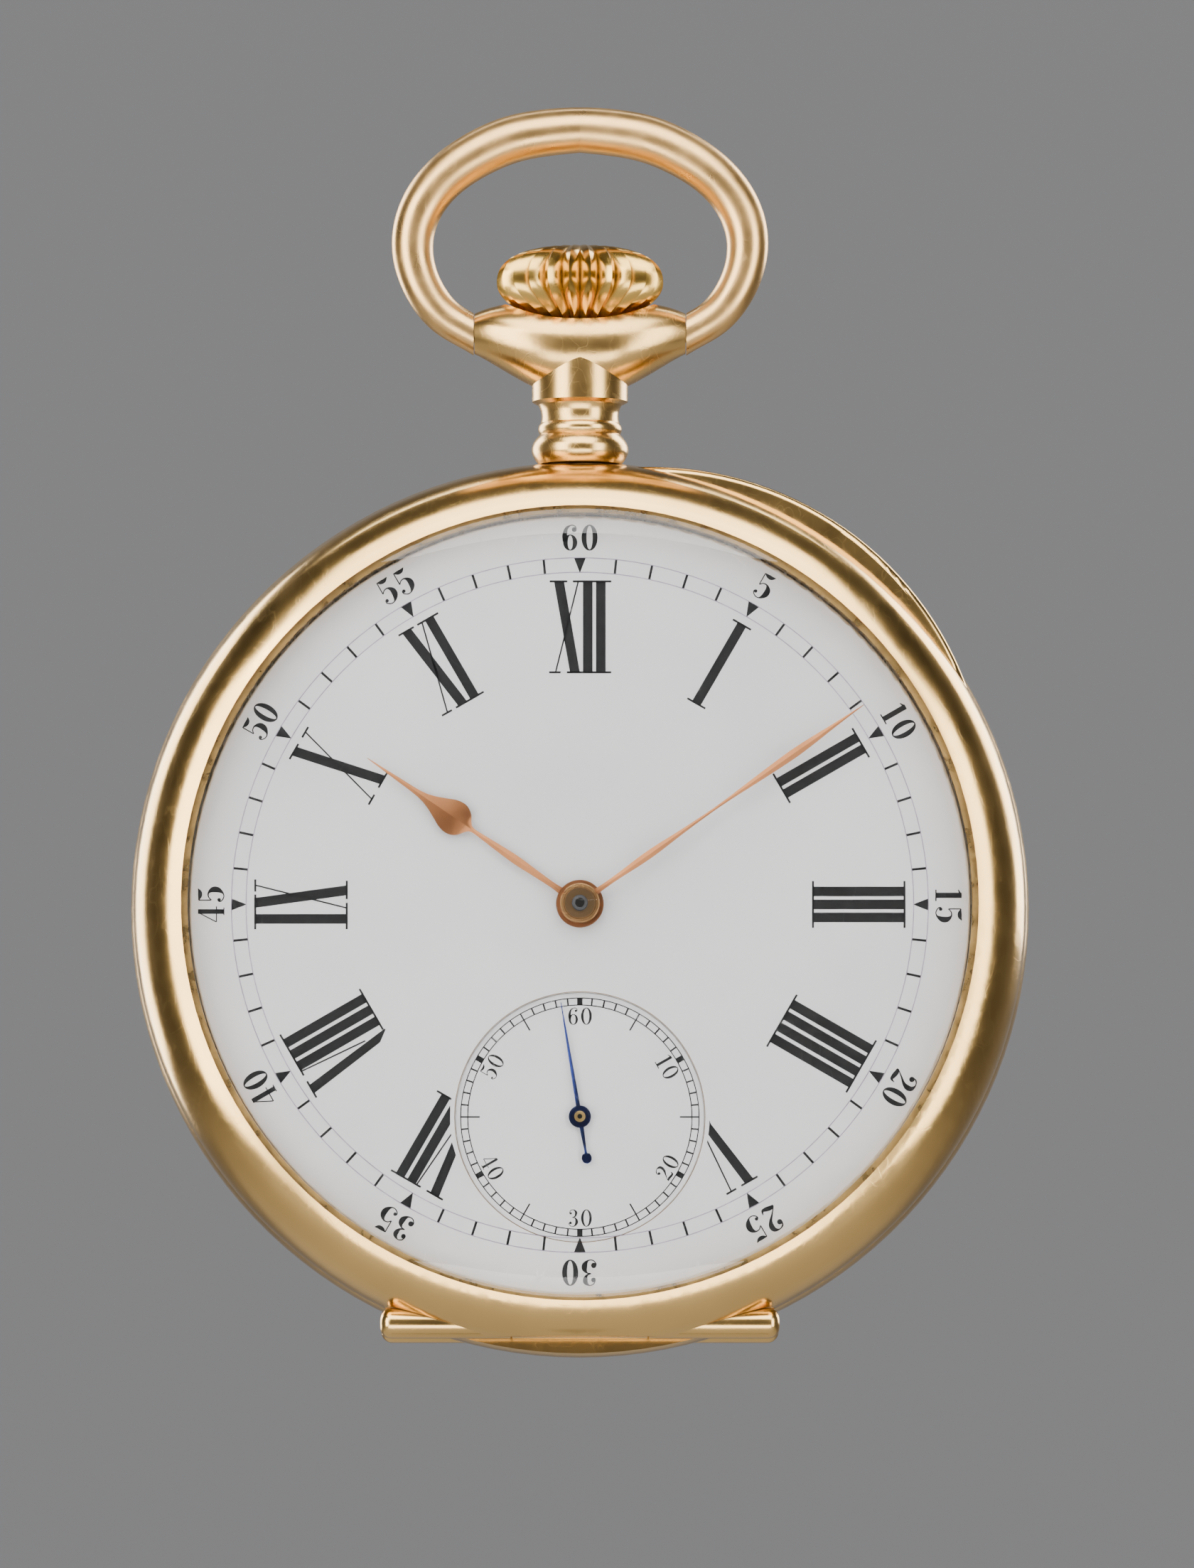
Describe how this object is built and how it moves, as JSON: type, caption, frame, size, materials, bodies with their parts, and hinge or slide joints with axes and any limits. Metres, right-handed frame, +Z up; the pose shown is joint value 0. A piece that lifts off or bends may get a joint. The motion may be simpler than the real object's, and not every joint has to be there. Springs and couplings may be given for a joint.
{
  "type": "pocket watch",
  "caption": "Open face pocket watch with hinged bezel and back, bow, winding crown, enamel dial with sunk seconds, and a lever movement inside.",
  "frame": {"origin": "innermost point of the bow at its top, where a chain hook bears when the watch hangs", "axes": "+Z up through 12 o clock, -Y out of the dial, +X towards 3 o clock"},
  "size_m": [0.056, 0.0139, 0.0783],
  "materials": {
    "gold_case": "polished, lightly scratched",
    "gold_satin": "satin, worn",
    "crystal": "clear polished",
    "enamel": "glossy white enamel",
    "rose_hand": "polished rose gold",
    "blued_steel": "heat blued",
    "nickel_plate": "nickelled, striped",
    "gilt_wheel": "gilt, circular grain",
    "steel": "polished steel",
    "ruby": "polished ruby"
  },
  "bodies": {
    "case": {"case_middle": "gold_case", "hinge_bars": "gold_case", "hinge_pins": "gold_case", "pendant": "gold_case", "bow_housing": "gold_case", "dial": "enamel", "seconds_dial": "enamel", "main_plate": "nickel_plate", "barrel_bridge": "nickel_plate", "train_bridge": "nickel_plate", "balance_cock": "nickel_plate", "pallet_cock": "nickel_plate", "jewels": "ruby", "movement_screws": "blued_steel", "case_screws": "steel", "hairspring": "blued_steel", "hairspring_stud": "nickel_plate", "regulator": "steel", "click": "steel", "click_spring": "steel", "setting_levers": "steel"},
    "bezel": {"bezel": "gold_case", "bezel_lip": "gold_case", "crystal": "crystal"},
    "back": {"back_cover": "gold_case", "back_lip": "gold_case"},
    "cuvette": {"cuvette": "gold_case"},
    "bow": {"bow": "gold_satin", "bow_pins": "gold_satin"},
    "winding_stem": {"winding_stem": "steel", "sliding_pinion": "steel"},
    "crown": {"crown": "gold_case"},
    "winding_pinion": {"winding_pinion": "steel"},
    "crown_wheel": {"crown_wheel": "steel"},
    "ratchet": {"ratchet_wheel": "steel", "barrel_arbor": "steel"},
    "barrel": {"barrel_drum": "gilt_wheel", "barrel_lid": "gilt_wheel", "mainspring": "steel"},
    "centre": {"centre_wheel": "gilt_wheel", "centre_pinion": "steel"},
    "third": {"third_wheel": "gilt_wheel", "third_pinion": "steel"},
    "fourth": {"fourth_wheel": "gilt_wheel", "fourth_pinion": "steel", "seconds_hand": "blued_steel"},
    "escape": {"escape_wheel": "steel", "escape_pinion": "steel"},
    "pallet_fork": {"pallet_fork": "steel", "pallet_stones": "ruby"},
    "balance": {"balance_wheel": "gilt_wheel", "balance_screws": "steel", "balance_staff": "steel", "roller": "steel"},
    "minute_hand": {"cannon_pinion": "steel", "minute_hand": "rose_hand"},
    "minute_wheel": {"minute_wheel": "gilt_wheel"},
    "hour_hand": {"hour_wheel": "gilt_wheel", "hour_hand": "rose_hand"}
  },
  "joints": [
    {"name": "bow_swing", "type": "hinge", "parent": "case", "child": "bow", "pos_m": [0, 0, -0.01143], "axis": [1, 0, 0], "range_deg": [-135, 135]},
    {"name": "bezel_open", "type": "hinge", "parent": "case", "child": "bezel", "pos_m": [0, -0.0026, -0.07353], "axis": [1, 0, 0], "range_deg": [0, 100]},
    {"name": "back_open", "type": "hinge", "parent": "case", "child": "back", "pos_m": [0, 0.0026, -0.07353], "axis": [-1, 0, 0], "range_deg": [0, 100]},
    {"name": "cuvette_open", "type": "hinge", "parent": "case", "child": "cuvette", "pos_m": [0, 0.0026, -0.07353], "axis": [-1, 0, 0], "range_deg": [0, 70]},
    {"name": "crown_turn", "type": "hinge", "parent": "case", "child": "winding_stem", "pos_m": [0, 0, -0.02753], "axis": [0, 0, 1], "continuous": true},
    {"name": "crown_pull", "type": "slide", "parent": "winding_stem", "child": "crown", "axis": [0, 0, 1], "range_m": [0, 0.001]},
    {"name": "winding_pinion_turn", "type": "hinge", "parent": "case", "child": "winding_pinion", "pos_m": [0, 0, -0.03083], "axis": [0, 0, 1], "continuous": true},
    {"name": "crown_wheel_turn", "type": "hinge", "parent": "case", "child": "crown_wheel", "pos_m": [0, 0.0024, -0.03633], "axis": [0, 1, 0], "continuous": true},
    {"name": "ratchet_turn", "type": "hinge", "parent": "case", "child": "ratchet", "pos_m": [0.01015, 0.0024, -0.04384], "axis": [0, 1, 0], "continuous": true},
    {"name": "seconds_turn", "type": "hinge", "parent": "case", "child": "fourth", "pos_m": [0, 0, -0.06073], "axis": [0, 1, 0], "continuous": true},
    {"name": "escape_turn", "type": "hinge", "parent": "case", "child": "escape", "pos_m": [0.00542, 0, -0.06169], "axis": [0, 1, 0], "continuous": true},
    {"name": "third_turn", "type": "hinge", "parent": "case", "child": "third", "pos_m": [-0.00409, 0, -0.05504], "axis": [0, 1, 0], "continuous": true},
    {"name": "centre_turn", "type": "hinge", "parent": "case", "child": "centre", "pos_m": [0, 0, -0.04753], "axis": [0, 1, 0], "continuous": true},
    {"name": "barrel_turn", "type": "hinge", "parent": "case", "child": "barrel", "pos_m": [0.01015, 0, -0.04384], "axis": [0, 1, 0], "continuous": true},
    {"name": "minute_hand_turn", "type": "hinge", "parent": "case", "child": "minute_hand", "pos_m": [0, -0.003, -0.04753], "axis": [0, 1, 0], "continuous": true},
    {"name": "minute_wheel_turn", "type": "hinge", "parent": "case", "child": "minute_wheel", "pos_m": [-0.00416, -0.002, -0.04513], "axis": [0, 1, 0], "continuous": true},
    {"name": "hour_hand_turn", "type": "hinge", "parent": "case", "child": "hour_hand", "pos_m": [0, -0.003, -0.04753], "axis": [0, 1, 0], "continuous": true},
    {"name": "pallet_rock", "type": "hinge", "parent": "case", "child": "pallet_fork", "pos_m": [0.00844, -0.00035, -0.05977], "axis": [0, 1, 0], "range_deg": [-5, 5]},
    {"name": "balance_swing", "type": "hinge", "parent": "case", "child": "balance", "pos_m": [0.01259, 0.0014, -0.05713], "axis": [0, 1, 0], "range_deg": [-270, 270], "stiffness_Nm_per_rad": 0.000001}
  ],
  "couplings": [
    {"joint": "cuvette_open", "follows": "back_open", "ratio": 0.7},
    {"joint": "winding_pinion_turn", "follows": "crown_turn", "ratio": 1},
    {"joint": "crown_wheel_turn", "follows": "crown_turn", "ratio": -0.36364},
    {"joint": "ratchet_turn", "follows": "crown_turn", "ratio": 0.2807},
    {"joint": "escape_turn", "follows": "seconds_turn", "ratio": -10},
    {"joint": "third_turn", "follows": "seconds_turn", "ratio": -0.13333},
    {"joint": "centre_turn", "follows": "seconds_turn", "ratio": 0.016667},
    {"joint": "barrel_turn", "follows": "seconds_turn", "ratio": -0.0020833},
    {"joint": "minute_hand_turn", "follows": "seconds_turn", "ratio": 0.016667},
    {"joint": "minute_wheel_turn", "follows": "seconds_turn", "ratio": -0.0055556},
    {"joint": "hour_hand_turn", "follows": "seconds_turn", "ratio": 0.0013889}
  ]
}
